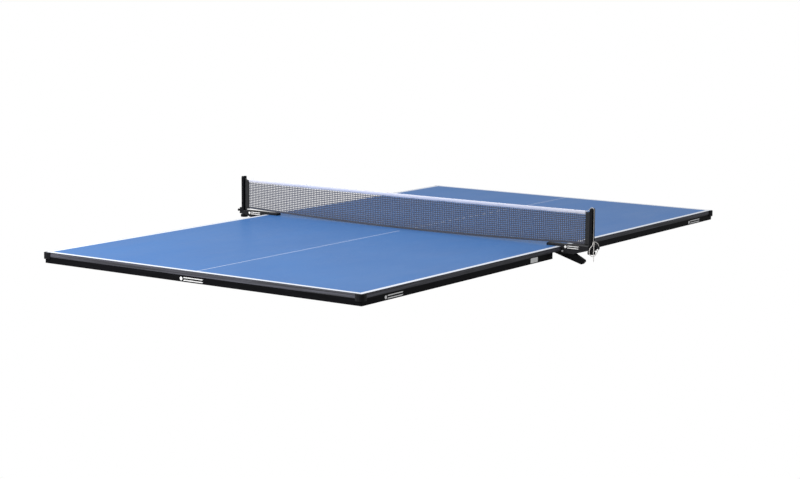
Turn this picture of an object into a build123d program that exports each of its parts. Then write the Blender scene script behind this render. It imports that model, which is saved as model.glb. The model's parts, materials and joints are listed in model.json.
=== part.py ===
"""Two-piece table tennis conversion top with a clamp-on net set, in millimetres.

The frame has its origin at the middle of the top, in the plane of the foam pads that lie on
the games table underneath. +X runs across the table, +Y along it, +Z up.
"""

import math
import os

from build123d import *

# Top: two equal halves that meet at y = 0
TOP_LENGTH = 2740.0
TOP_WIDTH = 1525.0
PANEL_T = 18.0
PAD_T = 5.0
BAND_T = 1.0
JOINT_GAP = 0.5
SURFACE_Z = PAD_T + PANEL_T
HALF_W = TOP_WIDTH / 2
HALF_L = TOP_LENGTH / 2

# Steel apron, a C section hung under the edge of the panel
APRON_H = 25.0
APRON_T = 1.5
APRON_FLANGE = 24.0
APRON_LIP = 6.0
APRON_SETBACK = 77.0
SCREW_R = 2.0
SCREW_HEAD_R = 4.0
SCREW_HEAD_H = 2.5
SCREW_DEPTH = 10.0
SCREW_INSET = 13.0
END_SCREWS_X = [-600.0, -300.0, 0.0, 300.0, 600.0]
SIDE_SCREWS_Y = [130.0, 380.0, 660.0, 940.0, 1220.0]

# Foam pads under the panels
PAD_SIZE = (220.0, 60.0)
PAD_X = [-480.0, 0.0, 480.0]
PAD_Y = [320.0, 1080.0]

# Moulded corner caps
CAP_REACH = 27.0
CAP_BULGE = 8.0
CAP_LIP = 2.5
CAP_ROUNDING = 2.0
CAP_H = 25.5

# Clamp: heights below are from the playing surface
BRACKET_W = 28.0
BRACKET_T = 1.5
BRACKET_TOP = 10.0
JAW_START = 702.0
JAW_PLUG = 6.0
JAW_PLUG_TONGUE = 3.5
JAW_GAP = 0.2
PLATE_IN = 763.2
BRACKET_END = 886.0
SHELF_END = 912.0
SHELF_Z = (-6.0, -3.0)
PIVOT = (771.0, -17.0)
PIN_R = 2.5
PIN_CLEARANCE = 0.05
LEVER_W = 18.0
LEVER_SLOT_W = 11.0
SPRING_MEAN_R = 4.6
SPRING_WIRE_R = 0.7
SPRING_PITCH = 1.6
SPRING_LENGTH = 8.0

# Height screw and wheel under each post
SCREW_X = 896.0
HEIGHT_SCREW_R = 3.0
COLLAR_R = 5.0
WHEEL_R = 16.0
WHEEL_Z = (-22.0, -10.0)
WHEEL_NOTCHES = 20

# Posts
POST_IN = 890.0
POST_OUT = 902.0
POST_W = 24.0
POST_T = 1.8
POST_Z = (-1.0, 158.0)
FOOT_OUT = 916.0
FOOT_Z = (-3.0, 20.0)
PEG_R = 4.5
PEG_END = 930.0
PEG_Z = 7.0
ROD_X = 884.5
ROD_R = 2.0

# Net
NET_END = 867.0
NET_TOP_END = 152.5
NET_TOP_MID = 149.5
BAND_H = 15.0
BAND_W = 4.2
HEM_H = 9.0
HEM_END = 18.0
HEM_MID = 0.6
MESH_W = 1.5
CORD_R = 1.4
CORD_DROP = 3.0

# Free tension cord on the right post, out of the band's end, over the cap and down to the peg
CORD_ROUTE = [
    (867.3, 0.0, 149.5),
    (876.0, 0.0, 151.5),
    (884.5, 0.0, 160.0),
    (893.5, 0.0, 167.0),
    (902.5, 0.0, 163.5),
    (904.5, 0.0, 151.0),
    (904.0, -1.0, 32.0),
    (909.5, -15.0, 18.0),
    (899.0, -20.0, 5.0),
    (896.5, -21.0, -12.0),
    (902.0, -20.0, -26.0),
    (914.0, -11.0, -28.0),
    (921.5, -5.0, -16.0),
    (924.0, 1.0, -3.5),
    (924.5, 10.5, 9.0),
    (919.0, 9.0, 26.0),
    (908.5, 1.5, 30.0),
]
TAIL_ROUTE = [
    (909.5, -3.5, 27.5),
    (914.5, -14.5, 20.0),
    (916.5, -18.5, 4.0),
    (915.0, -18.0, -15.0),
    (916.0, -17.5, -45.0),
]
KNOT_AT = (906.0, -1.5, 29.0)
KNOT_R = 4.8

SIDES = {"left": -1, "right": 1}
HALVES = {"near": -1, "far": 1}

os.makedirs("parts", exist_ok=True)


def save(part, label):
    """Label a finished piece and write its STEP."""
    part.label = label
    export_step(part, f"parts/{label}.step")


def place(x, y, z):
    """A point given with its height above the playing surface."""
    return (x, y, SURFACE_Z + z)


def outline(points, side):
    """X-Z points on one side of the table, heights from the playing surface."""
    return [(side * x, SURFACE_Z + z) for x, z in points]


def box_between(low, high, mode=Mode.ADD):
    """Box from its lowest to its highest corner, in the frame."""
    size = [b - a for a, b in zip(low, high)]
    middle = [(a + b) / 2 for a, b in zip(low, high)]
    with Locations(tuple(middle)):
        return Box(*size, mode=mode)


def side_box(side, x_range, y_range, z_range, mode=Mode.ADD):
    """Box on one side of the table, heights from the playing surface."""
    xs = sorted(side * x for x in x_range)
    low = place(xs[0], y_range[0], z_range[0])
    high = place(xs[1], y_range[1], z_range[1])
    return box_between(low, high, mode)


def upright(x, y, radius, z_range, mode=Mode.ADD):
    """Vertical cylinder, heights from the playing surface."""
    with Locations(place(x, y, (z_range[0] + z_range[1]) / 2)):
        return Cylinder(radius, z_range[1] - z_range[0], mode=mode)


# Top


def make_panel(half):
    """Board of one half, less the edge band all round."""
    ys = sorted([half * (JOINT_GAP / 2 + BAND_T), half * (HALF_L - BAND_T)])
    x = HALF_W - BAND_T
    with BuildPart() as panel:
        box_between((-x, ys[0], PAD_T), (x, ys[1], SURFACE_Z))
    return panel.part


def make_edge_band(half):
    """Thin strip glued round all four edges of a panel."""
    outer = sorted([half * JOINT_GAP / 2, half * HALF_L])
    inner = sorted([half * (JOINT_GAP / 2 + BAND_T), half * (HALF_L - BAND_T)])
    x = HALF_W - BAND_T
    with BuildPart() as band:
        box_between((-HALF_W, outer[0], PAD_T), (HALF_W, outer[1], SURFACE_Z))
        box_between((-x, inner[0], PAD_T), (x, inner[1], SURFACE_Z), Mode.SUBTRACT)
    return band.part


def apron_section():
    """C section with its web on the local y axis, open towards +x, top at y = 0."""
    with BuildSketch(mode=Mode.PRIVATE) as section:
        with Locations((APRON_T / 2, -APRON_H / 2)):
            Rectangle(APRON_T, APRON_H)
        with Locations(((APRON_T + APRON_FLANGE) / 2, -APRON_T / 2)):
            Rectangle(APRON_T + APRON_FLANGE, APRON_T)
        with Locations(((APRON_T + APRON_LIP) / 2, APRON_T / 2 - APRON_H)):
            Rectangle(APRON_T + APRON_LIP, APRON_T)
    return section.sketch


def screw_places(half):
    """X, Y of every apron screw of one half."""
    end_y = half * (HALF_L - SCREW_INSET)
    places = [(x, end_y) for x in END_SCREWS_X]
    for side in SIDES.values():
        places += [(side * (HALF_W - SCREW_INSET), half * y) for y in SIDE_SCREWS_Y]
    return places


def drill_flange(half):
    """Screw holes through the top flange of the apron being built."""
    for x, y in screw_places(half):
        with Locations((x, y, PAD_T)):
            Cylinder(SCREW_R + 0.1, 4 * APRON_T, mode=Mode.SUBTRACT)


def make_end_apron(half):
    """Apron across the end of one half, its corners rounded."""
    reach = HALF_W - APRON_T
    plane = Plane(
        origin=(half * reach, half * HALF_L, PAD_T), x_dir=(0, -half, 0), z_dir=(-half, 0, 0)
    )
    ys = sorted([half * HALF_L, half * (HALF_L - APRON_T)])
    with BuildPart() as apron:
        with BuildSketch(plane):
            add(apron_section())
        extrude(amount=2 * reach)
        box_between((-HALF_W, ys[0], PAD_T - APRON_H), (HALF_W, ys[1], PAD_T))
        corners = apron.edges().filter_by(Axis.Z).filter_by(
            lambda e: abs(abs(e.center().X) - HALF_W) < 0.01
            and abs(abs(e.center().Y) - HALF_L) < 0.01
        )
        fillet(corners, radius=1.2)
        drill_flange(half)
    return apron.part


def make_side_apron(half, side):
    """Apron down one side, from the end apron to a square cut short of the joint."""
    start = HALF_L - APRON_T
    length = start - APRON_SETBACK
    plane = Plane(
        origin=(side * HALF_W, half * APRON_SETBACK, PAD_T),
        x_dir=(-side, 0, 0),
        z_dir=(0, side, 0),
    )
    corner = APRON_T + APRON_FLANGE
    ys = sorted([half * HALF_L, half * (HALF_L - corner)])
    xs = sorted([0.0, side * (HALF_W - APRON_T)])
    with BuildPart() as apron:
        with BuildSketch(plane):
            add(apron_section())
        extrude(amount=half * side * length)
        box_between((xs[0], ys[0], PAD_T - APRON_H), (xs[1], ys[1], PAD_T), Mode.SUBTRACT)
        drill_flange(half)
    return apron.part


def make_apron_screws(half):
    """Pan-head wood screws through the flanges into the panel."""
    under = PAD_T - APRON_T
    with BuildPart() as screws:
        for x, y in screw_places(half):
            with Locations((x, y, under - SCREW_HEAD_H / 2)):
                head = Cylinder(SCREW_HEAD_R, SCREW_HEAD_H)
            chamfer(head.edges().sort_by(Axis.Z)[0], length=0.8)
            with Locations((x, y, under + (APRON_T + SCREW_DEPTH) / 2)):
                Cylinder(SCREW_R, APRON_T + SCREW_DEPTH)
    return screws.part


def make_foam_pads(half):
    """Foam blocks that lie on the games table."""
    with BuildPart() as pads:
        for x in PAD_X:
            for y in PAD_Y:
                with Locations((x, half * y, PAD_T / 2)):
                    Box(*PAD_SIZE, PAD_T)
        fillet(pads.edges().filter_by(Axis.Z), radius=6)
    return pads.part


def make_corner_cap(half, side):
    """Moulded bumper round an outer corner, bulging past both faces."""
    top = SURFACE_Z - 0.6
    shoulder = 10.0 - CAP_REACH

    def corner(a, b):
        return (side * (HALF_W + a), half * (HALF_L + b))

    with BuildPart() as cap:
        with BuildSketch(Plane.XY.offset(top - CAP_H)) as plan:
            with BuildLine():
                Polyline(
                    corner(-CAP_REACH, CAP_LIP),
                    corner(-CAP_REACH, 0),
                    corner(0, 0),
                    corner(0, -CAP_REACH),
                    corner(CAP_LIP, -CAP_REACH),
                    corner(CAP_BULGE, shoulder),
                    corner(CAP_BULGE, CAP_BULGE),
                    corner(shoulder, CAP_BULGE),
                    close=True,
                )
            make_face()
            outermost = plan.vertices().sort_by(lambda v: abs(v.X) + abs(v.Y))[-1]
            fillet(outermost, radius=15)
            shoulders = plan.vertices().filter_by(
                lambda v: abs(abs(v.X) - HALF_W - shoulder) < 0.01
                or abs(abs(v.Y) - HALF_L - shoulder) < 0.01
            )
            fillet(shoulders, radius=8)
        extrude(amount=CAP_H)
        rim = cap.edges().group_by(Axis.Z)[-1]
        outer_rim = rim.filter_by(
            lambda e: abs(e.center().X) > HALF_W + CAP_LIP
            or abs(e.center().Y) > HALF_L + CAP_LIP
        )
        fillet(outer_rim, radius=CAP_ROUNDING)
    return cap.part


# Clamps


def make_bracket(side):
    """Folded steel bracket: upper jaw, side plates and the shelf under the post."""
    plate = [
        (JAW_START, BRACKET_TOP),
        (BRACKET_END, BRACKET_TOP),
        (899.0, 1.0),
        (SHELF_END, -2.0),
        (SHELF_END, SHELF_Z[0]),
        (884.0, -8.0),
        (822.0, -26.0),
        (773.0, -26.5),
        (PLATE_IN, -23.0),
        (PLATE_IN, 1.0),
        (JAW_START, 1.0),
    ]
    inside = BRACKET_W / 2 - BRACKET_T
    with BuildPart() as bracket:
        with BuildSketch(Plane.XZ):
            with BuildLine():
                Polyline(*outline(plate, side), close=True)
            make_face()
        extrude(amount=BRACKET_W / 2, both=True)
        side_box(side, (JAW_START - 5, 930), (-inside, inside), (-40, BRACKET_TOP - 2), Mode.SUBTRACT)
        side_box(side, (BRACKET_END, 930), (-inside, inside), (-40, 20), Mode.SUBTRACT)
        side_box(side, (878, SHELF_END), (-inside, inside), SHELF_Z)
        long_edges = bracket.edges().filter_by(Axis.X).group_by(Axis.Z)[-1]
        fillet(long_edges.filter_by(lambda e: abs(e.center().Y) > inside), radius=1.2)
        with BuildSketch(Plane.XZ):
            with Locations(outline([PIVOT], side)[0]):
                Circle(PIN_R)
        extrude(amount=BRACKET_W, both=True, mode=Mode.SUBTRACT)
        upright(side * SCREW_X, 0, HEIGHT_SCREW_R + 0.08, (-10, 0), Mode.SUBTRACT)
    return bracket.part


def make_upper_pad(side):
    """Rubber block under the upper jaw, resting on the playing surface."""
    with BuildPart() as pad:
        side_box(side, (JAW_START + 4, 758), (-11, 11), (JAW_GAP, BRACKET_TOP - 2))
        fillet(pad.edges().filter_by(Axis.Z), radius=2)
    return pad.part


def make_jaw_end_cap(side):
    """Moulded plug that closes the inner end of the upper jaw."""
    with BuildPart() as cap:
        side_box(side, (JAW_START - JAW_PLUG, JAW_START), (-14.5, 14.5), (0.6, 10.6))
        fillet(cap.edges().filter_by(Axis.Z), radius=2)
        fillet(cap.edges().group_by(Axis.Z)[-1], radius=1.2)
        side_box(side, (JAW_START, JAW_START + JAW_PLUG_TONGUE), (-12.2, 12.2), (2, 7.8))
    return cap.part


def make_lever(side):
    """Squeeze handle and lower jaw in one tapered moulding, slotted for the spring."""
    body = [
        (712.0, -20.6),
        (761.0, -20.6),
        (766.0, -14.5),
        (772.0, -10.8),
        (800.0, -13.0),
        (872.0, -50.0),
        (857.0, -66.0),
        (713.0, -23.2),
    ]
    slot_x = (755.0, 785.0)
    slot_z = (-26.5, -5.0)
    with BuildPart() as lever:
        with BuildSketch(Plane.XZ):
            with BuildLine():
                Polyline(*outline(body, side), close=True)
            make_face()
            with Locations(outline([PIVOT], side)[0]):
                Circle(6.4)
        extrude(amount=LEVER_W / 2, both=True)
        tip = lever.edges().filter_by(Axis.Y).filter_by(
            lambda e: abs(e.center().X) > 845
        )
        fillet(tip, radius=6.5)
        crest = lever.edges().filter_by(Axis.Y).filter_by(
            lambda e: abs(abs(e.center().X) - 800) < 1
        )
        fillet(crest, radius=12)
        half_slot = LEVER_SLOT_W / 2
        side_box(side, slot_x, (-half_slot, half_slot), slot_z, Mode.SUBTRACT)
        with BuildSketch(Plane.XZ):
            with Locations(outline([PIVOT], side)[0]):
                Circle(PIN_R + PIN_CLEARANCE)
        extrude(amount=LEVER_W, both=True, mode=Mode.SUBTRACT)
    return lever.part


def make_lower_pad(side):
    """Rubber strip on the lower jaw, facing the underside of the panels."""
    with BuildPart() as pad:
        side_box(side, (713, 753), (-9, 9), (-20.6, -PANEL_T - JAW_GAP))
        fillet(pad.edges().filter_by(Axis.Z), radius=1.5)
    return pad.part


def make_pivot_pin(side):
    """Rivet through both side plates and the lever."""
    with BuildPart() as pin:
        with BuildSketch(Plane.XZ):
            with Locations(outline([PIVOT], side)[0]):
                Circle(PIN_R)
        extrude(amount=BRACKET_W / 2, both=True)
        for way in (-1, 1):
            with BuildSketch(Plane.XZ.offset(way * BRACKET_W / 2)):
                with Locations(outline([PIVOT], side)[0]):
                    Circle(1.7 * PIN_R)
            extrude(amount=way * 1.4)
        rims = pin.edges().filter_by(GeomType.CIRCLE).sort_by(Axis.Y)
        fillet([rims[0], rims[-1]], radius=1.0)
    return pin.part


def make_spring(side):
    """Torsion spring wound round the pivot pin inside the lever's slot."""
    x, z = outline([PIVOT], side)[0]
    with BuildPart() as spring:
        with BuildLine():
            coil = Helix(
                pitch=SPRING_PITCH,
                height=SPRING_LENGTH,
                radius=SPRING_MEAN_R,
                center=(x, -SPRING_LENGTH / 2, z),
                direction=(0, 1, 0),
            )
        with BuildSketch(Plane(origin=coil @ 0, z_dir=coil % 0)):
            Circle(SPRING_WIRE_R)
        sweep(is_frenet=True)
    return spring.part


# Height adjustment


def make_height_screw(side):
    """Screw held by its collar on the shelf, threaded into the foot of the post."""
    with BuildPart() as screw:
        upright(side * SCREW_X, 0, HEIGHT_SCREW_R, (WHEEL_Z[0], 14))
        upright(side * SCREW_X, 0, COLLAR_R, (SHELF_Z[1], SHELF_Z[1] + 1.6))
        chamfer(screw.edges().sort_by(Axis.Z)[-1], length=0.8)
    return screw.part


def make_wheel(side):
    """Notched thumb wheel on the lower end of the height screw."""
    with BuildPart() as wheel:
        upright(side * SCREW_X, 0, WHEEL_R, WHEEL_Z)
        rims = wheel.edges().filter_by(GeomType.CIRCLE)
        fillet(rims, radius=2)
        upright(side * SCREW_X, 0, HEIGHT_SCREW_R, WHEEL_Z, Mode.SUBTRACT)
        with Locations(place(side * SCREW_X, 0, (WHEEL_Z[0] + WHEEL_Z[1]) / 2)):
            with PolarLocations(WHEEL_R + 0.5, WHEEL_NOTCHES):
                Cylinder(1.4, 20, mode=Mode.SUBTRACT)
    return wheel.part


# Posts


def make_post(side):
    """Upright channel, open outwards, with two tabs that hold the net's end rod."""
    wall = POST_W / 2 - POST_T
    with BuildPart() as post:
        side_box(side, (POST_IN, POST_OUT), (-POST_W / 2, POST_W / 2), POST_Z)
        fillet(
            post.edges().filter_by(Axis.Z).filter_by(
                lambda e: abs(abs(e.center().X) - POST_IN) < 0.01
            ),
            radius=1.5,
        )
        side_box(side, (POST_IN + 2, POST_OUT + 5), (-wall, wall), POST_Z, Mode.SUBTRACT)
        for z_range in ((12.2, 14.4), (147.4, 149.6)):
            side_box(side, (880.5, POST_IN), (-4, 4), z_range)
        upright(side * ROD_X, 0, ROD_R, (5, 155), Mode.SUBTRACT)
    return post.part


def make_post_foot(side):
    """Moulded foot in the bottom of the post, with the peg for the cord."""
    wall = POST_W / 2 - POST_T
    with BuildPart() as foot:
        side_box(side, (POST_IN + 2, FOOT_OUT), (-wall, wall), FOOT_Z)
        fillet(
            foot.edges().filter_by(Axis.Z).filter_by(
                lambda e: abs(abs(e.center().X) - FOOT_OUT) < 0.01
            ),
            radius=3,
        )
        fillet(foot.edges().filter_by(Axis.Y).sort_by(Axis.Z)[-1], radius=0.8)
        with BuildSketch(Plane.YZ.offset(side * FOOT_OUT)):
            with Locations((0, SURFACE_Z + PEG_Z)):
                Circle(PEG_R)
        extrude(amount=side * (PEG_END - FOOT_OUT))
        with BuildSketch(Plane.YZ.offset(side * (PEG_END - 2.5))):
            with Locations((0, SURFACE_Z + PEG_Z)):
                Circle(PEG_R + 1.2)
        extrude(amount=side * 2.5)
        upright(side * SCREW_X, 0, HEIGHT_SCREW_R + 0.08, (FOOT_Z[0], 19.2), Mode.SUBTRACT)
        upright(side * SCREW_X, 0, COLLAR_R + 0.4, (FOOT_Z[0], -1), Mode.SUBTRACT)
    return foot.part


def make_post_cap(side):
    """Moulded plug flush with the post, grooved and notched for the cord."""
    wall = POST_W / 2 - POST_T
    top = 163.0
    with BuildPart() as cap:
        side_box(side, (POST_IN, POST_OUT), (-POST_W / 2, POST_W / 2), (154, top))
        fillet(cap.edges().filter_by(Axis.Z), radius=2)
        fillet(cap.edges().group_by(Axis.Z)[-1], radius=1.2)
        seat = ((POST_IN, POST_IN + 2), (-POST_W / 2, POST_W / 2))
        side_box(side, *seat, (150, POST_Z[1]), Mode.SUBTRACT)
        for way in (-1, 1):
            ys = sorted([way * wall, way * POST_W / 2])
            side_box(side, (POST_IN, POST_OUT), ys, (150, POST_Z[1]), Mode.SUBTRACT)
        side_box(side, (880, 896), (-3.2, 3.2), (POST_Z[1], 170), Mode.SUBTRACT)
        side_box(side, (896, 910), (-3.2, 3.2), (150, 170), Mode.SUBTRACT)
    return cap.part


# Net


def net_edge(end, middle):
    """Arc along the net between heights above the surface at its ends and its middle."""
    return ThreePointArc(
        (-NET_END, SURFACE_Z + end), (0, SURFACE_Z + middle), (NET_END, SURFACE_Z + end)
    )


def net_strip(low, high, width):
    """Solid between two net edges, each given as (end, middle)."""
    with BuildPart() as strip:
        with BuildSketch(Plane.XZ):
            with BuildLine():
                net_edge(*low)
                net_edge(*high)
                for x in (-NET_END, NET_END):
                    Line((x, SURFACE_Z + low[0]), (x, SURFACE_Z + high[0]))
            make_face()
        extrude(amount=width / 2, both=True)
    return strip.part


def cord_in_band(radius):
    """Round rod along the arc of the top cord, inside the band."""
    with BuildPart() as rod:
        with BuildLine():
            line = ThreePointArc(
                place(-NET_END, 0, NET_TOP_END - CORD_DROP),
                place(0, 0, NET_TOP_MID - CORD_DROP),
                place(NET_END, 0, NET_TOP_END - CORD_DROP),
            )
        with BuildSketch(Plane(origin=line @ 0, z_dir=line % 0)):
            Circle(radius)
        sweep()
    return rod.part


def make_top_band():
    """White tape folded over the top cord."""
    band = net_strip(
        (NET_TOP_END - BAND_H, NET_TOP_MID - BAND_H), (NET_TOP_END, NET_TOP_MID), BAND_W
    )
    with BuildPart() as taped:
        add(band)
        add(cord_in_band(CORD_R + 0.05), mode=Mode.SUBTRACT)
    return taped.part


def make_sleeve(side):
    """Cloth sleeve at the end of the net, closed round its end rod."""
    with BuildPart() as sleeve:
        with BuildSketch(Plane.XY.offset(SURFACE_Z + 16)):
            with BuildLine():
                Polyline(
                    (side * NET_END, -1.5),
                    (side * 878, -3.4),
                    (side * 889.6, -3.4),
                    (side * 889.6, 3.4),
                    (side * 878, 3.4),
                    (side * NET_END, 1.5),
                    close=True,
                )
            make_face()
        extrude(amount=131)
        upright(side * ROD_X, 0, ROD_R + 0.1, (10, 155), Mode.SUBTRACT)
    return sleeve.part


def make_end_rod(side):
    """Steel rod through the sleeve and the post's two tabs."""
    with BuildPart() as rod:
        upright(side * ROD_X, 0, ROD_R, (11.2, 150.6))
        chamfer(rod.edges().filter_by(GeomType.CIRCLE), length=0.5)
    return rod.part


def cord_path(route):
    """Route points and the arc radius at each corner, as large as its two runs allow."""
    points = [Vector(*place(*p)) for p in route]
    radii = []
    for a, b, c in zip(points, points[1:], points[2:]):
        turn = (b - a).get_angle(c - b)
        shorter = min((b - a).length, (c - b).length)
        radii.append(0.45 * shorter / math.tan(math.radians(turn / 2)))
    return points, radii


def make_cord(route, name):
    """Tube along a free stretch of the cord."""
    points, radii = cord_path(route)
    with BuildPart() as cord:
        with BuildLine():
            line = FilletPolyline(*points, radius=radii)
        with BuildSketch(Plane(origin=line @ 0, z_dir=line % 0)):
            Circle(CORD_R)
        sweep()
    print(f"{name}: {line.length:.1f} long, radii {[round(r, 1) for r in radii]}")
    print(f"  volume over section times length: {cord.part.volume / (math.pi * CORD_R**2 * line.length):.4f}")
    return cord.part


def make_knot():
    """Ball that stands for the knot where the loop closes."""
    with BuildPart() as knot:
        with Locations(place(*KNOT_AT)):
            Sphere(KNOT_R)
    return knot.part


for half_name, half in HALVES.items():
    save(make_panel(half), f"{half_name}_panel")
    save(make_edge_band(half), f"{half_name}_edge_band")
    save(make_end_apron(half), f"{half_name}_apron_end")
    save(make_apron_screws(half), f"{half_name}_apron_screws")
    save(make_foam_pads(half), f"{half_name}_foam_pads")
    for side_name, side in SIDES.items():
        save(make_side_apron(half, side), f"{half_name}_apron_{side_name}")
        save(make_corner_cap(half, side), f"{half_name}_corner_cap_{side_name}")

MAKE_PER_SIDE = {
    "clamp_bracket": make_bracket,
    "upper_jaw_pad": make_upper_pad,
    "jaw_end_cap": make_jaw_end_cap,
    "clamp_lever": make_lever,
    "lower_jaw_pad": make_lower_pad,
    "pivot_pin": make_pivot_pin,
    "lever_spring": make_spring,
    "height_screw": make_height_screw,
    "height_wheel": make_wheel,
    "post": make_post,
    "post_foot": make_post_foot,
    "post_cap": make_post_cap,
    "net_sleeve": make_sleeve,
    "net_end_rod": make_end_rod,
}
for piece, make in MAKE_PER_SIDE.items():
    for side_name, side in SIDES.items():
        save(make(side), f"{piece}_{side_name}")

band_low = (NET_TOP_END - BAND_H, NET_TOP_MID - BAND_H)
hem_high = (HEM_END + HEM_H, HEM_MID + HEM_H)
save(net_strip(hem_high, band_low, MESH_W), "net_mesh")
save(net_strip((HEM_END, HEM_MID), hem_high, 2.4), "net_bottom_hem")
save(make_top_band(), "net_top_band")
save(cord_in_band(CORD_R), "net_top_cord")
save(make_cord(CORD_ROUTE, "tension_cord"), "tension_cord")
save(make_cord(TAIL_ROUTE, "tension_cord_tail"), "tension_cord_tail")
save(make_knot(), "tension_knot")
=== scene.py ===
"""Looks of the table tennis conversion top: cloth, net, cords and materials round the CAD frame."""

import json
import math
import random

import bpy
from mathutils import Matrix, Vector


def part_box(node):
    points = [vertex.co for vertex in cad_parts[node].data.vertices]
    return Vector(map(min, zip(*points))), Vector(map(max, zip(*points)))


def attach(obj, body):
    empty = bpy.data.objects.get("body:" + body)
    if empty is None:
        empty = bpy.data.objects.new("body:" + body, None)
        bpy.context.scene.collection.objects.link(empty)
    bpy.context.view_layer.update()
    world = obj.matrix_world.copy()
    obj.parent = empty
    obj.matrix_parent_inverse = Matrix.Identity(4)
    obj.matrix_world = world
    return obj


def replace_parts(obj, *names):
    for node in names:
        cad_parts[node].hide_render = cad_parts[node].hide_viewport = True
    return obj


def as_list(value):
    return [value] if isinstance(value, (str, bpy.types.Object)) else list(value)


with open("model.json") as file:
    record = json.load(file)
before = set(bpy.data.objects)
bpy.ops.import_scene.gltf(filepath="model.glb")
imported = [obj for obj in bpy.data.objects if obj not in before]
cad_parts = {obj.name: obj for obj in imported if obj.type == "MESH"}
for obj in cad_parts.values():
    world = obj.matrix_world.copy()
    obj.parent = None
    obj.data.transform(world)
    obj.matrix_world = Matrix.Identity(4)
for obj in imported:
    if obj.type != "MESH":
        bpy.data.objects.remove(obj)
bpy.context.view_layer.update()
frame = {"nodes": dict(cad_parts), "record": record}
nodes = frame["nodes"]

# Places read off the frame, in metres
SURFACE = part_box("near_panel")[1].z
HALF_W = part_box("near_edge_band")[1].x
HALF_L = -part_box("near_edge_band")[0].y
NET_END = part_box("net_mesh")[1].x
random.seed(7)


# Camera; the cord routes below were judged by its view

CAMERA_AT = (4.4736, -6.4600, SURFACE + 1.1401)
CAMERA_AZIMUTH, CAMERA_ELEVATION, CAMERA_ROLL = (math.radians(a) for a in (34.913, 8.573, 0.430))
CAMERA_LENS = 83.93
SENSOR_WIDTH = 36
VIEW_DEPTH = 200


def make_camera():
    """Camera at the photograph's place and angle."""
    a, e, r = CAMERA_AZIMUTH, CAMERA_ELEVATION, CAMERA_ROLL
    back = Vector((math.sin(a) * math.cos(e), -math.cos(a) * math.cos(e), math.sin(e)))
    right = Vector((0, 0, 1)).cross(back).normalized()
    up = back.cross(right)
    x_axis = right * math.cos(r) + up * math.sin(r)
    y_axis = up * math.cos(r) - right * math.sin(r)
    data = bpy.data.cameras.new("camera")
    data.lens = CAMERA_LENS
    data.sensor_width = SENSOR_WIDTH
    data.clip_end = VIEW_DEPTH
    camera = bpy.data.objects.new("camera", data)
    bpy.context.scene.collection.objects.link(camera)
    turn = Matrix((x_axis, y_axis, back)).transposed().to_4x4()
    camera.matrix_world = Matrix.Translation(CAMERA_AT) @ turn
    bpy.context.scene.camera = camera


make_camera()


# Helpers for node materials


class Shader:
    """A material's node tree with short calls for the nodes used here."""

    def __init__(self, name):
        self.material = bpy.data.materials.new(name)
        self.material.use_nodes = True
        self.tree = self.material.node_tree
        self.principled = self.tree.nodes["Principled BSDF"]

    def node(self, kind, **values):
        made = self.tree.nodes.new(kind)
        for key, value in values.items():
            setattr(made, key, value)
        return made

    def link(self, source, target):
        self.tree.links.new(source, target)

    def set(self, **values):
        """Uniform values straight on the Principled sockets."""
        for key, value in values.items():
            self.principled.inputs[key.replace("_", " ")].default_value = value
        return self

    def coords(self, scale=(1, 1, 1)):
        """Object coordinates in metres, stretched along the axes."""
        source = self.node("ShaderNodeTexCoord").outputs["Object"]
        mapping = self.node("ShaderNodeMapping")
        mapping.inputs["Scale"].default_value = scale
        self.link(source, mapping.inputs["Vector"])
        return mapping.outputs["Vector"]

    def noise(self, vector, scale, detail=4.0, roughness=0.55):
        made = self.node("ShaderNodeTexNoise")
        made.inputs["Scale"].default_value = scale
        made.inputs["Detail"].default_value = detail
        made.inputs["Roughness"].default_value = roughness
        self.link(vector, made.inputs["Vector"])
        return made.outputs["Fac"]

    def wave(self, vector, scale, axis="X", distortion=0.0):
        made = self.node("ShaderNodeTexWave", wave_type="BANDS", bands_direction=axis)
        made.inputs["Scale"].default_value = scale
        made.inputs["Distortion"].default_value = distortion
        made.inputs["Detail"].default_value = 1.0
        self.link(vector, made.inputs["Vector"])
        return made.outputs["Fac"]

    def ramp(self, factor, stops):
        """Colour ramp of (position, colour) stops; a colour may be one grey value."""
        made = self.node("ShaderNodeValToRGB")
        points = made.color_ramp.elements
        while len(points) < len(stops):
            points.new(0.5)
        for point, (position, colour) in zip(points, stops):
            point.position = position
            if not hasattr(colour, "__len__"):
                colour = (colour, colour, colour)
            point.color = (*colour, 1)
        self.link(factor, made.inputs["Fac"])
        return made.outputs["Color"]

    def math(self, operation, a, b):
        made = self.node("ShaderNodeMath", operation=operation)
        for value, socket in zip((a, b), made.inputs):
            if hasattr(value, "is_linked"):
                self.link(value, socket)
            else:
                socket.default_value = value
        return made.outputs["Value"]

    def mix(self, factor, a, b, blend="MIX"):
        made = self.node("ShaderNodeMix", data_type="RGBA", blend_type=blend)
        for value, name in ((factor, 0), (a, 6), (b, 7)):
            socket = made.inputs[name]
            if hasattr(value, "is_linked"):
                self.link(value, socket)
            elif name == 0:
                socket.default_value = value
            else:
                socket.default_value = (*value, 1)
        return made.outputs[2]

    def bump(self, height, distance, strength=1.0):
        made = self.node("ShaderNodeBump")
        made.inputs["Distance"].default_value = distance
        made.inputs["Strength"].default_value = strength
        self.link(height, made.inputs["Height"])
        self.link(made.outputs["Normal"], self.principled.inputs["Normal"])

    def colour(self, output):
        self.link(output, self.principled.inputs["Base Color"])

    def rough(self, output):
        self.link(output, self.principled.inputs["Roughness"])


# Materials

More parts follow.
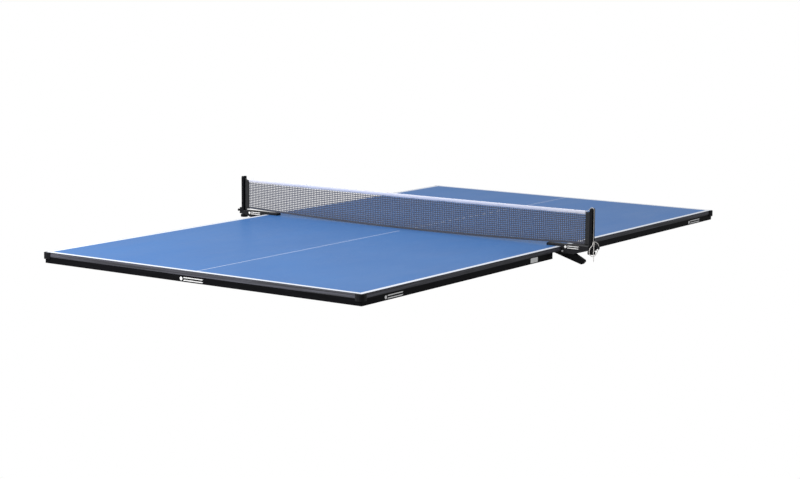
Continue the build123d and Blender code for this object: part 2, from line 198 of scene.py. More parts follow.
LINE = 0.020
CENTRE_LINE = 0.003
CENTRE_LINE_END = 0.056
LINE_WHITE = (0.82, 0.86, 0.95)
LINE_WORN = (0.70, 0.75, 0.86)
PAINT_BLUE = (0.054, 0.184, 0.480)
PAINT_BLUE_DARK = (0.048, 0.168, 0.450)
PAINT_SPECK = (0.10, 0.25, 0.55)
FIBRE_BOARD_DARK = (0.33, 0.25, 0.17)
FIBRE_BOARD = (0.42, 0.33, 0.23)
TAPE_DARK = (0.010, 0.010, 0.013)
TAPE_GREY = (0.038, 0.038, 0.050)
TAPE_STREAK = (0.110, 0.111, 0.143)
CORD_SOILED = (0.42, 0.39, 0.37)
CORD_CLEAN = (0.80, 0.77, 0.74)


def board_paint():
    """Semi-matt blue paint with 20 mm side and end lines and a thin centre line."""
    s = Shader("board_paint")
    place = s.coords()
    parts = s.node("ShaderNodeSeparateXYZ")
    s.link(place, parts.inputs[0])
    x = s.math("ABSOLUTE", parts.outputs["X"], 0.0)
    y = s.math("ABSOLUTE", parts.outputs["Y"], 0.0)
    side = s.math("GREATER_THAN", x, HALF_W - LINE)
    end = s.math("GREATER_THAN", y, HALF_L - LINE)
    centre = s.math("LESS_THAN", x, CENTRE_LINE / 2)
    past_joint = s.math("GREATER_THAN", y, CENTRE_LINE_END)
    centre = s.math("MULTIPLY", centre, past_joint)
    lines = s.math("MAXIMUM", s.math("MAXIMUM", side, end), centre)
    on_top = s.math("GREATER_THAN", parts.outputs["Z"], SURFACE - 0.0004)
    lines = s.math("MULTIPLY", lines, on_top)
    cloudy = s.noise(place, 2.2, 3)
    speckle = s.noise(place, 900, 2)
    blue = s.ramp(cloudy, [(0.3, PAINT_BLUE_DARK), (0.7, PAINT_BLUE)])
    blue = s.mix(s.ramp(speckle, [(0.45, 0.0), (0.75, 0.18)]), blue, PAINT_SPECK)
    fibres = s.noise(s.coords((1, 40, 1)), 30)
    under = s.ramp(fibres, [(0.3, FIBRE_BOARD_DARK), (0.7, FIBRE_BOARD)])
    white = s.mix(s.ramp(speckle, [(0.4, 0.0), (0.8, 0.12)]), LINE_WHITE, LINE_WORN)
    top = s.mix(lines, blue, white)
    s.colour(s.mix(on_top, under, top))
    smear = s.noise(s.coords((1, 0.35, 1)), 7, 5)
    s.rough(s.ramp(smear, [(0.25, 0.33), (0.75, 0.43)]))
    s.bump(s.noise(place, 1400, 2), 0.00006, 0.5)
    return s.set(Specular_IOR_Level=0.42).material


def edge_tape():
    """Dark grey edging with fine streaks along the board."""
    s = Shader("edge_tape")
    fine = s.noise(s.coords((9, 9, 900)), 1.0, 4, 0.6)
    broad = s.noise(s.coords((1.6, 1.6, 210)), 1.0, 3)
    grain = s.math("ADD", s.math("MULTIPLY", fine, 0.35), s.math("MULTIPLY", broad, 0.65))
    s.colour(s.ramp(grain, [(0.38, TAPE_DARK), (0.5, TAPE_GREY), (0.64, TAPE_STREAK)]))
    s.rough(s.ramp(fine, [(0.3, 0.62), (0.7, 0.42)]))
    s.bump(fine, 0.0004, 0.7)
    return s.material


def coated_steel(name, colour, light, roughness=0.42, specular=0.25):
    """Powder-coated steel: fine orange peel, faint rubbed streaks."""
    s = Shader(name)
    place = s.coords()
    rubbed = s.noise(s.coords((3, 3, 60)), 4, 4)
    s.colour(s.ramp(rubbed, [(0.45, colour), (0.85, light)]))
    s.rough(s.ramp(s.noise(place, 260, 3), [(0.3, roughness - 0.08), (0.7, roughness + 0.1)]))
    s.bump(s.noise(place, 1300, 3), 0.00012, 0.6)
    return s.set(Specular_IOR_Level=specular).material


def moulded_plastic(name, colour, light, roughness=0.5, specular=0.2):
    """Black moulded plastic with a fine spark-eroded texture."""
    s = Shader(name)
    place = s.coords()
    s.colour(s.ramp(s.noise(place, 35, 4), [(0.35, colour), (0.8, light)]))
    s.rough(s.ramp(s.noise(place, 420, 3), [(0.3, roughness - 0.1), (0.7, roughness + 0.12)]))
    s.bump(s.noise(place, 2400, 2), 0.0001, 0.7)
    return s.set(Specular_IOR_Level=specular).material


def bare_steel(name, colour, roughness=0.3):
    """Zinc-plated or drawn steel with fine turning marks."""
    s = Shader(name)
    dull = tuple(0.7 * c for c in colour)
    s.colour(s.ramp(s.noise(s.coords((40, 40, 500)), 6, 4), [(0.3, dull), (0.7, colour)]))
    s.rough(s.ramp(s.noise(s.coords(), 300, 3), [(0.3, roughness - 0.08), (0.7, roughness + 0.15)]))
    s.bump(s.noise(s.coords((60, 60, 2500)), 1.0, 2), 0.00004, 0.5)
    return s.set(Metallic=0.9).material


def rubber():
    s = Shader("rubber")
    s.colour(s.ramp(s.noise(s.coords(), 50, 4), [(0.3, 0.014), (0.8, 0.035)]))
    s.rough(s.ramp(s.noise(s.coords(), 500, 3), [(0.3, 0.7), (0.7, 0.9)]))
    s.bump(s.noise(s.coords(), 1800, 3), 0.00015, 0.7)
    return s.material


def foam():
    """Closed-cell foam: small dark pits."""
    s = Shader("foam")
    cells = s.node("ShaderNodeTexVoronoi")
    cells.inputs["Scale"].default_value = 900
    s.link(s.coords(), cells.inputs["Vector"])
    s.colour(s.ramp(cells.outputs["Distance"], [(0.0, 0.012), (0.6, 0.05)]))
    s.rough(s.ramp(cells.outputs["Distance"], [(0.0, 0.95), (0.8, 0.8)]))
    s.bump(cells.outputs["Distance"], 0.0004, 0.8)
    return s.material


def woven(name, dark, light, across=950.0, along=700.0, sheen=0.3, roughness=0.85):
    """Woven tape: warp and weft waves with a little soiling."""
    s = Shader(name)
    place = s.coords()
    warp = s.wave(place, along, "X", 0.6)
    weft = s.wave(place, across, "Z", 0.6)
    weave = s.math("MULTIPLY", warp, weft)
    soiled = s.noise(place, 14, 4)
    mixed = s.math("ADD", s.math("MULTIPLY", weave, 0.55), s.math("MULTIPLY", soiled, 0.45))
    s.colour(s.ramp(mixed, [(0.15, dark), (0.6, light)]))
    s.rough(s.ramp(weave, [(0.0, roughness - 0.1), (1.0, roughness + 0.08)]))
    s.bump(weave, 0.00018, 0.7)
    return s.set(Sheen_Weight=sheen, Sheen_Roughness=0.5).material


def thread(name, dark, light):
    """Twisted thread of the net."""
    s = Shader(name)
    s.colour(s.ramp(s.noise(s.coords(), 160, 4), [(0.3, dark), (0.7, light)]))
    s.rough(s.ramp(s.noise(s.coords(), 900, 2), [(0.3, 0.62), (0.7, 0.85)]))
    s.bump(s.wave(s.coords(), 900, "DIAGONAL", 1.0), 0.0002, 0.8)
    return s.set(Sheen_Weight=0.25).material


def braid():
    """Braided cord: crossing diagonal strands."""
    s = Shader("braid")
    place = s.coords()
    one = s.wave(place, 420, "DIAGONAL", 0.3)
    other = s.wave(s.coords((-1, 1, 1)), 420, "DIAGONAL", 0.3)
    strands = s.math("MAXIMUM", one, other)
    worn = s.noise(place, 60, 4)
    mixed = s.math("ADD", s.math("MULTIPLY", strands, 0.5), s.math("MULTIPLY", worn, 0.5))
    s.colour(s.ramp(mixed, [(0.2, CORD_SOILED), (0.65, CORD_CLEAN)]))
    s.rough(s.ramp(worn, [(0.3, 0.75), (0.7, 0.92)]))
    s.bump(strands, 0.0003, 0.8)
    return s.set(Sheen_Weight=0.3).material


def print_white():
    """White print on the aprons and brackets, slightly worn."""
    s = Shader("print_white")
    worn = s.noise(s.coords(), 420, 5, 0.7)
    s.colour(s.ramp(worn, [(0.25, 0.55), (0.45, 0.83)]))
    s.rough(s.ramp(worn, [(0.3, 0.45), (0.7, 0.6)]))
    s.bump(s.noise(s.coords(), 1500, 2), 0.00005, 0.5)
    return s.material


# Darker and lighter shade of each finish

APRON_BLACK = ((0.0024, 0.0024, 0.0035), (0.0062, 0.0062, 0.0085))
PLASTIC_BLACK = ((0.004, 0.004, 0.005), (0.011, 0.011, 0.014))
LEVER_BLACK = ((0.0012, 0.0012, 0.0015), (0.004, 0.004, 0.005))
BRACKET_BLACK = ((0.009, 0.009, 0.011), (0.022, 0.022, 0.026))
POST_BLACK = ((0.004, 0.004, 0.005), (0.010, 0.010, 0.013))
SLEEVE_BLACK = ((0.003, 0.003, 0.004), (0.010, 0.010, 0.012))
NET_BLUE = ((0.040, 0.043, 0.068), (0.072, 0.076, 0.115))
HEM_BLUE = ((0.022, 0.025, 0.042), (0.060, 0.068, 0.100))
BAND_WHITE = ((0.69, 0.69, 0.78), (0.82, 0.82, 0.92))

MATERIALS = {
    "blue_board": board_paint(),
    "edge_tape": edge_tape(),
    "black_steel": coated_steel("apron_coat", *APRON_BLACK, 0.46, 0.06),
    "zinc_screw": bare_steel("zinc", (0.62, 0.62, 0.6)),
    "foam": foam(),
    "black_plastic": moulded_plastic("black_plastic", *PLASTIC_BLACK, 0.4, 0.15),
    "bracket_steel": coated_steel("bracket_coat", *BRACKET_BLACK, 0.38, 0.18),
    "rubber_pad": rubber(),
    "rivet_steel": bare_steel("rivet", (0.55, 0.55, 0.56), 0.28),
    "spring_steel": bare_steel("spring", (0.42, 0.42, 0.42), 0.3),
    "lever_plastic": moulded_plastic("lever_plastic", *LEVER_BLACK, 0.42, 0.06),
    "screw_steel": bare_steel("screw", (0.62, 0.61, 0.57)),
    "post_steel": coated_steel("post_coat", *POST_BLACK, 0.40, 0.12),
    "sleeve_cloth": woven("sleeve_cloth", *SLEEVE_BLACK, sheen=0.04),
    "rod_steel": bare_steel("rod", (0.5, 0.5, 0.5)),
    "net_mesh": thread("net_thread", *NET_BLUE),
    "hem_cloth": woven("hem_cloth", *HEM_BLUE),
    "band_cloth": woven("band_cloth", *BAND_WHITE, 1100, 800, 0.12),
    "cord": braid(),
}
PRINT = print_white()

for part in frame["record"]["subparts"]:
    node = nodes[part["node"]]
    node.data.materials.clear()
    node.data.materials.append(MATERIALS[part["material_slot"]])


# Helpers for pieces

# Corners of a rectangle: its sides in x and y, and the degrees where the rounding starts
CORNERS = ((1, 1, 0), (-1, 1, 90), (-1, -1, 180), (1, -1, 270))


def add_piece(name, vertices, faces, body, slot, smooth=True, material=None):
    """A mesh piece that rides on a body and takes a record slot's finish."""
    mesh = bpy.data.meshes.new(name)
    mesh.from_pydata([tuple(v) for v in vertices], [], faces)
    mesh.validate()
    mesh.update()
    if smooth:
        mesh.polygons.foreach_set("use_smooth", [True] * len(mesh.polygons))
    piece = bpy.data.objects.new(name, mesh)
    bpy.context.scene.collection.objects.link(piece)
    mesh.materials.append(material or MATERIALS[slot])
    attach(piece, body)
    return piece


def tube(points, radius, sides=8, closed_ends=True):
    """Vertices and faces of a round tube along a list of points."""
    vertices, faces = [], []
    guide = Vector((0.13, 0.31, 0.94)).normalized()
    for i, point in enumerate(points):
        ahead = points[min(i + 1, len(points) - 1)] - points[max(i - 1, 0)]
        across = ahead.cross(guide).normalized()
        up = across.cross(ahead).normalized()
        thick = radius(i / (len(points) - 1)) if callable(radius) else radius
        for k in range(sides):
            angle = 2 * math.pi * k / sides
            vertices.append(point + (across * math.cos(angle) + up * math.sin(angle)) * thick)
    for i in range(len(points) - 1):
        for k in range(sides):
            a, b = i * sides + k, i * sides + (k + 1) % sides
            faces.append((a, b, b + sides, a + sides))
    if closed_ends:
        faces.append(tuple(reversed(range(sides))))
        last = (len(points) - 1) * sides
        faces.append(tuple(range(last, last + sides)))
    return vertices, faces


def join(parts):
    """One vertex and face list out of several."""
    vertices, faces = [], []
    for some_vertices, some_faces in parts:
        start = len(vertices)
        vertices += some_vertices
        faces += [tuple(i + start for i in face) for face in some_faces]
    return vertices, faces


# Free cord: the route of the CAD tube, heights from the playing surface, in metres

CORD_DIAMETER = 0.0028
CORD_ROUTE = [
    (0.8673, 0.0, 0.1495),
    (0.8760, 0.0, 0.1515),
    (0.8845, 0.0, 0.1600),
    (0.8935, 0.0, 0.1670),
    (0.9025, 0.0, 0.1635),
    (0.9045, 0.0, 0.1510),
    (0.9040, -0.0010, 0.0320),
    (0.9095, -0.0150, 0.0180),
    (0.8990, -0.0200, 0.0050),
    (0.8965, -0.0210, -0.0120),
    (0.9020, -0.0200, -0.0260),
    (0.9140, -0.0110, -0.0280),
    (0.9215, -0.0050, -0.0160),
    (0.9240, 0.0010, -0.0035),
    (0.9245, 0.0105, 0.0090),
    (0.9190, 0.0090, 0.0260),
    (0.9085, 0.0015, 0.0300),
]
TAIL_ROUTE = [
    (0.9095, -0.0035, 0.0275),
    (0.9145, -0.0145, 0.0200),
    (0.9165, -0.0185, 0.0040),
    (0.9150, -0.0180, -0.0150),
    (0.9160, -0.0175, -0.0450),
]
KNOT_AT = Vector((0.906, -0.0015, SURFACE + 0.029))
KNOT_SIZE = 0.00105
KNOT_THREAD_R = 0.00135
KNOT_STEPS = 72
FIBRES = 14
FIBRE_R = 0.00028


def make_cord(name, route):
    """A smooth NURBS cord along its route."""
    data = bpy.data.curves.new(name, "CURVE")
    data.dimensions = "3D"
    data.bevel_depth = CORD_DIAMETER / 2
    data.bevel_resolution = 3
    data.resolution_u = 12
    data.use_fill_caps = True
    spline = data.splines.new("NURBS")
    spline.points.add(len(route) - 1)
    for point, (x, y, z) in zip(spline.points, route):
        point.co = (x, y, SURFACE + z, 1)
    spline.order_u = 3
    spline.use_endpoint_u = True
    data.materials.append(MATERIALS["cord"])
    cord = bpy.data.objects.new(name, data)
    bpy.context.scene.collection.objects.link(cord)
    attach(cord, "net_assembly")
    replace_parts(cord, name)
    return cord


def make_knot():
    """Overhand knot: a tube round a trefoil, flattened a little."""
    points = []
    for i in range(KNOT_STEPS + 1):
        t = 2 * math.pi * i / KNOT_STEPS
        x = math.sin(t) + 2 * math.sin(2 * t)
        y = math.cos(t) - 2 * math.cos(2 * t)
        z = -1.3 * math.sin(3 * t)
        points.append(KNOT_AT + KNOT_SIZE * Vector((0.8 * x, 0.95 * z, 1.15 * y)))
    knot = add_piece("knot", *tube(points, KNOT_THREAD_R, 10, False), "net_assembly", "cord")
    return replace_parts(knot, "tension_knot")


def make_frayed_end():
    """Loose fibres at the cut end of the tail."""
    x, y, z = TAIL_ROUTE[-1]
    start = Vector((x, y, SURFACE + z + 0.001))
    parts = []
    for i in range(FIBRES):
        angle, lean = 2 * math.pi * i / FIBRES, random.uniform(0.1, 0.45)
        length = random.uniform(0.002, 0.0045)
        root = start + Vector((math.cos(angle), math.sin(angle), 0)) * 0.0008
        out = Vector((math.cos(angle) * lean, math.sin(angle) * lean, -1)).normalized()
        middle = root + out * length / 2 + Vector((0, 0, -0.0002))
        parts.append(tube([root, middle, root + out * length], lambda t: FIBRE_R * (1 - 0.6 * t), 5))
    return add_piece("cord_fray", *join(parts), "net_assembly", "cord")


cord = make_cord("tension_cord", CORD_ROUTE)
cord.name = "free_cord"
tail = make_cord("tension_cord_tail", TAIL_ROUTE)
tail.name = "free_cord_tail"
knot = make_knot()
fray = make_frayed_end()


# Net

COLUMN_PITCH = 0.0089
MESH_ROWS = 16
MESH_SLACK = 0.00035
THREAD_W = 0.0019
THREAD_D = 0.0006
BAND_HEIGHT = 0.015
BAND_STEPS, HEM_STEPS = 360, 300
HEM_HEIGHT = 0.009
TOP_END, TOP_MID = 0.1525, 0.1495
HEM_END, HEM_MID = 0.018, 0.0006
STITCH_PITCH, STITCH_LENGTH = 0.0042, 0.0028
STITCH_R, STITCH_RISE = 0.00024, 0.00018
BAND_STITCH_INSET, HEM_STITCH_INSET = 0.0022, 0.0018
SLEEVE_CLOTH = 0.0006
SLEEVE_STEPS = 44
ROD_X = 0.8845


def arc(end, middle, x):
    """Height on the arc through (0, middle) and (+-NET_END, end), above the surface."""
    rise = end - middle
    radius = (NET_END**2 + rise**2) / (2 * rise)
    return SURFACE + middle + radius - math.sqrt(radius**2 - x**2)


def top_of_net(x):
    return arc(TOP_END, TOP_MID, x)


def foot_of_net(x):
    return arc(HEM_END, HEM_MID, x)


def belly(x, share):
    """Sideways wave of the cloth, share 0 at the hem and 1 at the band; still at the net's ends."""
    calm = (1 - (x / NET_END) ** 8) * (1 - 0.8 * share)
    return calm * (0.0009 * math.sin(9.1 * x + 0.6) + 0.0006 * math.sin(23.7 * x + 2.1))


def flat_thread(points):
    """Netting thread: wider in the net's plane than it is thick."""
    vertices, faces = [], []
    sides, thickness = 8, Vector((0, THREAD_D, 0))
    for i, point in enumerate(points):
        ahead = points[min(i + 1, len(points) - 1)] - points[max(i - 1, 0)]
        across = ahead.cross(thickness).normalized() * THREAD_W
        for k in range(sides):
            angle = 2 * math.pi * k / sides
            vertices.append(point + across * math.cos(angle) + thickness * math.sin(angle))
    for i in range(len(points) - 1):
        for k in range(sides):
            a, b = i * sides + k, i * sides + (k + 1) % sides
            faces.append((a, b, b + sides, a + sides))
    last = (len(points) - 1) * sides
    faces += [tuple(reversed(range(sides))), tuple(range(last, last + sides))]
    return vertices, faces


def net_knot(point):
    """Small swelling where two threads join."""
    wide, deep = 1.3 * THREAD_W, 1.5 * THREAD_D
    around = [Vector(v) for v in ((wide, 0, 0), (0, 0, wide), (-wide, 0, 0), (0, 0, -wide))]
    tips = [Vector((0, -deep, 0)), Vector((0, deep, 0))]
    faces = [(k, (k + 1) % 4, 4) for k in range(4)] + [((k + 1) % 4, k, 5) for k in range(4)]
    return [point + offset for offset in around + tips], faces


def make_net():
    """Knitted square mesh between the hem and the band."""
    columns, rows = round(2 * NET_END / COLUMN_PITCH), MESH_ROWS
    knots = []
    for i in range(columns + 1):
        x = -NET_END + 2 * NET_END * i / columns
        lower = foot_of_net(x) + 0.8 * HEM_HEIGHT
        upper = top_of_net(x) - 0.9 * BAND_HEIGHT
        column = []
        for row in range(rows):
            z = lower + (upper - lower) * row / (rows - 1)
            share = (z - foot_of_net(x)) / (top_of_net(x) - foot_of_net(x))
            inner = 0 < row < rows - 1 and 0 < i < columns
            loose = MESH_SLACK if inner else 0.0
            dx, dz = random.uniform(-loose, loose), random.uniform(-loose, loose)
            column.append(Vector((x + dx, belly(x, share), z + dz)))
        knots.append(column)
    parts = [flat_thread(column) for column in knots]
    parts += [flat_thread([column[row] for column in knots]) for row in range(rows)]
    parts += [net_knot(point) for column in knots for point in column[1:-1]]
    net = add_piece("net", *join(parts), "net_assembly", "net_mesh")
    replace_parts(net, "net_mesh")
    height = top_of_net(0) - foot_of_net(0) - BAND_HEIGHT - HEM_HEIGHT
    flat, posts = (2 * NET_END, height), ["post_left", "post_right"]
    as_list(posts)


def loft(name, section, steps, slot, node):
    """Closed strip along the net; section(x) gives the ring of points at x."""
    vertices, faces = [], []
    for i in range(steps + 1):
        x = -NET_END + 2 * NET_END * i / steps
        ring = section(x)
        vertices += ring
        if i:
            n, start = len(ring), (i - 1) * len(ring)
            for k in range(n):
                a, b = start + k, start + (k + 1) % n
                faces.append((a, a + n, b + n, b))
    n = len(ring)
    faces.append(tuple(range(n)))
    faces.append(tuple(reversed(range(len(vertices) - n, len(vertices)))))
    piece = add_piece(name, vertices, faces, "net_assembly", slot)
    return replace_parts(piece, node)


def folded(x, top, height, half_width, cloth, bulge, bulge_drop):
    """Ring of a tape folded over a cord: over the fold, down one side, up inside it, and back."""
    centre = top - bulge_drop
    pucker = 0.00018 * math.sin(x * 310) + 0.00012 * math.sin(x * 187 + 1)
    neck, bottom = centre - 0.0022, top - height + 0.0004 * math.sin(x * 41)
    inner = half_width - cloth
    angles = [math.pi * k / 8 for k in range(9)]

    def fold(reach, rise):
        return [(math.cos(a) * reach, centre + math.sin(a) * rise) for a in angles]

    ring = fold(bulge, bulge_drop)[::-1]
    ring += [(half_width + pucker, neck), (half_width, bottom)]
    ring += [(inner, bottom), (inner + pucker, neck)]
    ring += fold(bulge - cloth, bulge_drop - cloth)
    ring += [(-inner - pucker, neck), (-inner, bottom)]
    ring += [(-half_width, bottom), (-half_width - pucker, neck)]
    return ring


def make_band():
    """White tape folded over the top cord, and its two rows of stitches."""

    def section(x):
        top = top_of_net(x)
        ring = folded(x, top, BAND_HEIGHT, half_width=0.00165, cloth=0.0005, bulge=0.0021, bulge_drop=0.0026)
        return [Vector((x, y + belly(x, 1.0), z)) for y, z in ring]

    band = loft("net_band", section, BAND_STEPS, "band_cloth", "net_top_band")

    def seam(x):
        return top_of_net(x) - (BAND_HEIGHT - BAND_STITCH_INSET)

    stitches = make_stitches("band_stitches", seam, share=1.0, out=0.00175, slot="band_cloth")


def make_hem():
    """Dark tape folded round the lower edge of the net, with its stitches."""

    def section(x):
        low = foot_of_net(x)
        ring = folded(x, -low, HEM_HEIGHT, half_width=0.0008, cloth=0.0004, bulge=0.0011, bulge_drop=0.0012)
        return [Vector((x, y + belly(x, 0.0), -z)) for y, z in ring]

    hem = loft("net_hem", section, HEM_STEPS, "hem_cloth", "net_bottom_hem")

    def seam(x):
        return foot_of_net(x) + HEM_HEIGHT - HEM_STITCH_INSET

    stitches = make_stitches("hem_stitches", seam, share=0.0, out=0.0009, slot="hem_cloth")


def make_stitches(name, seam, share, out, slot):
    """Short raised stitches on both faces of a tape; seam(x) is their height, out their distance off."""
    parts = []
    for i in range(1, int(2 * NET_END / STITCH_PITCH)):
        x = -NET_END + i * STITCH_PITCH
        for side in (-1, 1):
            y, z = side * out + belly(x, share), seam(x)
            start = Vector((x - STITCH_LENGTH / 2, y, z))
            middle = Vector((x, y + side * STITCH_RISE, z))
            end = Vector((x + STITCH_LENGTH / 2, y, z))
            parts.append(tube([start, middle, end], STITCH_R, 4))
    return add_piece(name, *join(parts), "net_assembly", slot)


def sleeve_outside(side, t):
    """Outer ring of a sleeve at share t of its height: two flat tails and a loop round the rod."""
    inner = side * NET_END
    wave = 0.0011 * math.sin(23 * t + 0.5) + 0.0006 * math.sin(51 * t)
    edge = inner - side * (0.0006 + abs(wave))
    ripple = 0.00025 * math.sin(37 * t + 1)
    tail = [(edge, 0.0014)]
    tail.append((inner + side * 0.005, 0.0013 + ripple))
    tail.append((inner + side * 0.010, 0.0019 - ripple))
    loop = []
    for k in range(9):
        angle = math.pi * (0.75 - 1.5 * k / 8)
        reach = 0.0048 if abs(angle) < 0.5 else 0.0042
        loop.append((side * (ROD_X + math.cos(angle) * reach), math.sin(angle) * 0.0031))
    return tail + loop + [(x, -y) for x, y in reversed(tail)]


def sleeve_inside(ring):
    """The same ring about one cloth thickness further in, the other way round."""
    edge = ring[0][0]
    middle = sum(x for x, y in ring) / len(ring)
    inside = []
    for x, y in reversed(ring):
        shrink = SLEEVE_CLOTH if abs(x - edge) > 1e-6 else 0.0
        inward = math.copysign(min(shrink, abs(middle - x)), middle - x)
        inside.append((x + 0.7 * inward, y - 0.8 * math.copysign(SLEEVE_CLOTH, y)))
    return inside


def make_sleeve(side_name, side):
    """Black cloth sleeve round the end rod, sewn to the net, its free edge wavy."""
    low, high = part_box(f"net_sleeve_{side_name}")
    vertices, faces = [], []
    for i in range(SLEEVE_STEPS + 1):
        t = i / SLEEVE_STEPS
        ring = sleeve_outside(side, t)
        loop = ring + sleeve_inside(ring)
        vertices += [Vector((x, y, low.z + t * (high.z - low.z))) for x, y in loop]
    n = len(loop)
    for i in range(SLEEVE_STEPS):
        for k in range(n):
            a, b = i * n + k, i * n + (k + 1) % n
            faces.append((a, b, b + n, a + n))
    for k in range(len(ring) - 1):
        lower = (k, n - 1 - k, n - 2 - k, k + 1)
        faces.append(lower)
        faces.append(tuple(SLEEVE_STEPS * n + v for v in reversed(lower)))
    sleeve = add_piece(f"sleeve_{side_name}", vertices, faces, "net_assembly", "sleeve_cloth")
    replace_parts(sleeve, f"net_sleeve_{side_name}")


make_net()
make_band()
make_hem()
for side_name, side in (("left", -1), ("right", 1)):
    make_sleeve(side_name, side)


# Foam pads

PAD_LENGTH, PAD_WIDTH = 0.22, 0.06
PAD_ROUND_OFF = 0.0012
PAD_CORNER, PAD_CORNER_STEPS = 0.006, 6


def rounded_block(low, high, round_off):
    """A block with rounded corners in plan and softened rims."""
    vertices, faces = [], []
    insets = [round_off, 0.3 * round_off, 0.0, 0.3 * round_off, round_off]
    for level, inset in enumerate(insets):
        z = low.z + level / 4 * (high.z - low.z)
        reach = PAD_CORNER - inset
        for cx, cy, start in CORNERS:
            middle_x = high.x - PAD_CORNER if cx > 0 else low.x + PAD_CORNER
            middle_y = high.y - PAD_CORNER if cy > 0 else low.y + PAD_CORNER
            for k in range(PAD_CORNER_STEPS + 1):
                angle = math.radians(start + 90 * k / PAD_CORNER_STEPS)
                x, y = middle_x + math.cos(angle) * reach, middle_y + math.sin(angle) * reach
                vertices.append(Vector((x, y, z)))
    ring = 4 * (PAD_CORNER_STEPS + 1)
    for level in range(len(insets) - 1):
        for k in range(ring):
            a, b = level * ring + k, level * ring + (k + 1) % ring
            faces.append((a, b, b + ring, a + ring))
    faces.append(tuple(reversed(range(ring))))
    faces.append(tuple(range((len(insets) - 1) * ring, len(insets) * ring)))
    return vertices, faces


def make_foam_pads(half_name):
    """The half's foam pads, cut blocks with softened rims."""
    low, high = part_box(f"{half_name}_foam_pads")
    parts = []
    for i in range(3):
        x = low.x + (high.x - low.x - PAD_LENGTH) * i / 2
        for y in (low.y, high.y - PAD_WIDTH):
            pad_low = Vector((x, y, low.z))
            pad_high = Vector((x + PAD_LENGTH, y + PAD_WIDTH, high.z))
            parts.append(rounded_block(pad_low, pad_high, PAD_ROUND_OFF))
    pads = add_piece(f"{half_name}_foam", *join(parts), f"{half_name}_half", "foam", smooth=False)
    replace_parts(pads, f"{half_name}_foam_pads")


for half_name in ("near", "far"):
    make_foam_pads(half_name)


# Printed marks: a plain ball and bar, and a blank label

PRINT_T = 0.00015
BALL_STEPS = 24


def mark(name, body, slot, origin, along, up, length, height):
    """Ball and bar printed on a flat face."""
    along, up = Vector(along), Vector(up)
    out = along.cross(up)
    origin = Vector(origin)
    vertices, faces = [], []

    def plate(outline):
        start = len(vertices)
        for lift in (0.0, PRINT_T):
            vertices.extend(origin + along * a + up * b + out * lift for a, b in outline)
        n = len(outline)
        faces.append(tuple(range(start + n, start + 2 * n)))
        for k in range(n):
            j = (k + 1) % n
            faces.append((start + k, start + j, start + n + j, start + n + k))

    radius = height / 2
    ball = []
    for k in range(BALL_STEPS):
        angle = 2 * math.pi * k / BALL_STEPS
        ball.append((radius * math.cos(angle) - length / 2 + radius, radius * math.sin(angle)))
    plate(ball)
    bar, slant = 0.28 * height, 0.3 * height
    left, right = -length / 2 + 2.4 * radius, length / 2
    for level in (0.5 * height - bar, -0.5 * height):
        plate([(left, level), (right - slant, level), (right, level + bar), (left + slant, level + bar)])
    return add_piece(name, vertices, faces, body, slot, smooth=False, material=PRINT)


def label(name, body, slot, origin, along, up, length, height):
    """Blank rounded label."""
    along, up = Vector(along), Vector(up)
    out = along.cross(up)
    origin = Vector(origin)
    corner, outline = 0.003, []
    for cx, cy, start in CORNERS:
        for k in range(5):
            angle = math.radians(start + 22.5 * k)
            a = cx * (length / 2 - corner) + corner * math.cos(angle)
            b = cy * (height / 2 - corner) + corner * math.sin(angle)
            outline.append((a, b))
    n = len(outline)
    vertices = [origin + along * a + up * b + out * lift for lift in (0.0, PRINT_T) for a, b in outline]
    faces = [tuple(range(n, 2 * n))]
    faces += [(k, (k + 1) % n, n + (k + 1) % n, n + k) for k in range(n)]
    return add_piece(name, vertices, faces, body, slot, smooth=False, material=PRINT)


APRON_MID = SURFACE - 0.0315
APRON_MARK_L, APRON_MARK_H = 0.113, 0.0135
CLAMP_MARK_L, CLAMP_MARK_H = 0.067, 0.0108
CLAMP_MARKS = (("left", -0.826), ("right", 0.812))
BRACKET_MID = SURFACE + 0.0005
BRACKET_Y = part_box("clamp_bracket_right")[0].y
END_MARK_X, NEAR_MARK_Y, FAR_MARK_Y = -0.011, -1.177, 1.190
APRON_MARKS = [
    ("mark_near_end", "near_half", (END_MARK_X, -HALF_L, APRON_MID), (1, 0, 0)),
    ("mark_near_side", "near_half", (HALF_W, NEAR_MARK_Y, APRON_MID), (0, 1, 0)),
    ("mark_far_side", "far_half", (HALF_W, FAR_MARK_Y, APRON_MID), (0, 1, 0)),
    ("mark_far_end", "far_half", (-END_MARK_X, HALF_L, APRON_MID), (-1, 0, 0)),
    ("mark_left_near", "near_half", (-HALF_W, -FAR_MARK_Y, APRON_MID), (0, -1, 0)),
    ("mark_left_far", "far_half", (-HALF_W, -NEAR_MARK_Y, APRON_MID), (0, -1, 0)),
]
for name, body, at, along in APRON_MARKS:
    mark(name, body, "black_steel", at, along, (0, 0, 1), APRON_MARK_L, APRON_MARK_H)
for side_name, mark_x in CLAMP_MARKS:
    name, at = f"mark_clamp_{side_name}", (mark_x, BRACKET_Y, BRACKET_MID)
    mark(name, "near_half", "bracket_steel", at, (1, 0, 0), (0, 0, 1), CLAMP_MARK_L, CLAMP_MARK_H)
LABEL_AT = (HALF_W, -0.2195, SURFACE - 0.0298)
LABEL_L, LABEL_H = 0.054, 0.019
label("side_label", "near_half", "black_steel", LABEL_AT, (0, 1, 0), (0, 0, 1), LABEL_L, LABEL_H)


# Stage: pale floor well below, white surround, soft lights

FLOOR_Z = -0.76
FLOOR_REACH = 40.0
FLOOR_GREY = (0.5, 0.5, 0.5, 1)
FLOOR_GLOW = 0.12
WORLD_WHITE = (0.96, 0.98, 1.0, 1)
WORLD_STRENGTH = 0.40
SCENE = bpy.context.scene
SCENE.view_settings.view_transform = "Standard"


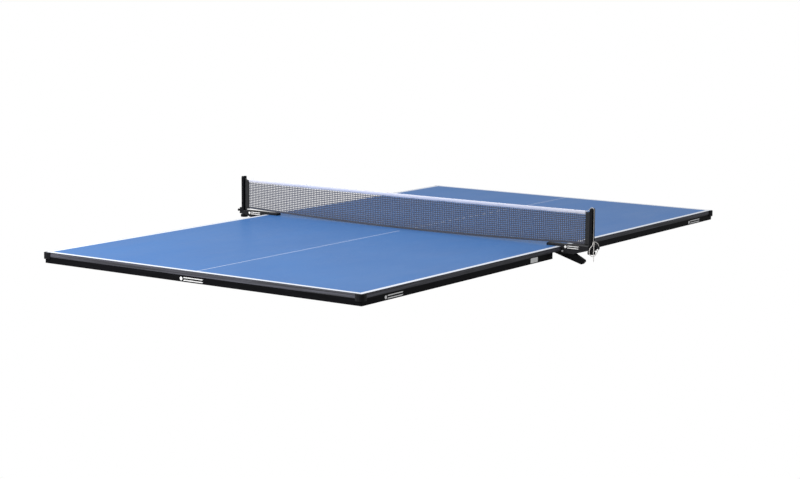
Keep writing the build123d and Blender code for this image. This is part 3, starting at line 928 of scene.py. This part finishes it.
def white_to_camera(tree, lit, white_kind, output):
    """Show plain white to the camera and leave the lit shader to all other rays."""
    white = tree.nodes.new(white_kind)
    white.inputs["Color"].default_value = (1, 1, 1, 1)
    path = tree.nodes.new("ShaderNodeLightPath")
    chosen = tree.nodes.new("ShaderNodeMixShader")
    tree.links.new(path.outputs["Is Camera Ray"], chosen.inputs[0])
    tree.links.new(lit.outputs[0], chosen.inputs[1])
    tree.links.new(white.outputs[0], chosen.inputs[2])
    tree.links.new(chosen.outputs[0], tree.nodes[output].inputs["Surface"])


def make_floor():
    """Large pale floor."""
    mesh = bpy.data.meshes.new("floor")
    sides = ((-1, -1), (1, -1), (1, 1), (-1, 1))
    corners = [(cx * FLOOR_REACH, cy * FLOOR_REACH, FLOOR_Z) for cx, cy in sides]
    mesh.from_pydata(corners, [], [(0, 1, 2, 3)])
    floor = bpy.data.objects.new("floor", mesh)
    SCENE.collection.objects.link(floor)
    material = bpy.data.materials.new("floor")
    material.use_nodes = True
    tree = material.node_tree
    surface = tree.nodes["Principled BSDF"]
    surface.inputs["Base Color"].default_value = FLOOR_GREY
    surface.inputs["Roughness"].default_value = 0.9
    surface.inputs["Emission Color"].default_value = (1, 1, 1, 1)
    surface.inputs["Emission Strength"].default_value = FLOOR_GLOW
    white_to_camera(tree, surface, "ShaderNodeEmission", "Material Output")
    mesh.materials.append(material)


def make_world():
    """White surround that lights the part softly."""
    world = bpy.data.worlds.new("world")
    SCENE.world = world
    world.use_nodes = True
    tree = world.node_tree
    background = tree.nodes["Background"]
    background.inputs["Color"].default_value = WORLD_WHITE
    background.inputs["Strength"].default_value = WORLD_STRENGTH
    white_to_camera(tree, background, "ShaderNodeBackground", "World Output")


def make_light(name, at, target, size, power):
    """White square area light aimed at a point."""
    data = bpy.data.lights.new(name, "AREA")
    data.size = size
    data.energy = power
    light = bpy.data.objects.new(name, data)
    SCENE.collection.objects.link(light)
    light.location = at
    light.rotation_mode = "QUATERNION"
    light.rotation_quaternion = (Vector(target) - Vector(at)).to_track_quat("-Z", "Y")


make_floor()
make_world()
make_light("key", at=(-2.0, -3.7, 2.6), target=(0, -0.4, 0), size=2.0, power=230)
make_light("top", at=(0.0, 0.5, 5.0), target=(0, 0, 0), size=4.0, power=90)
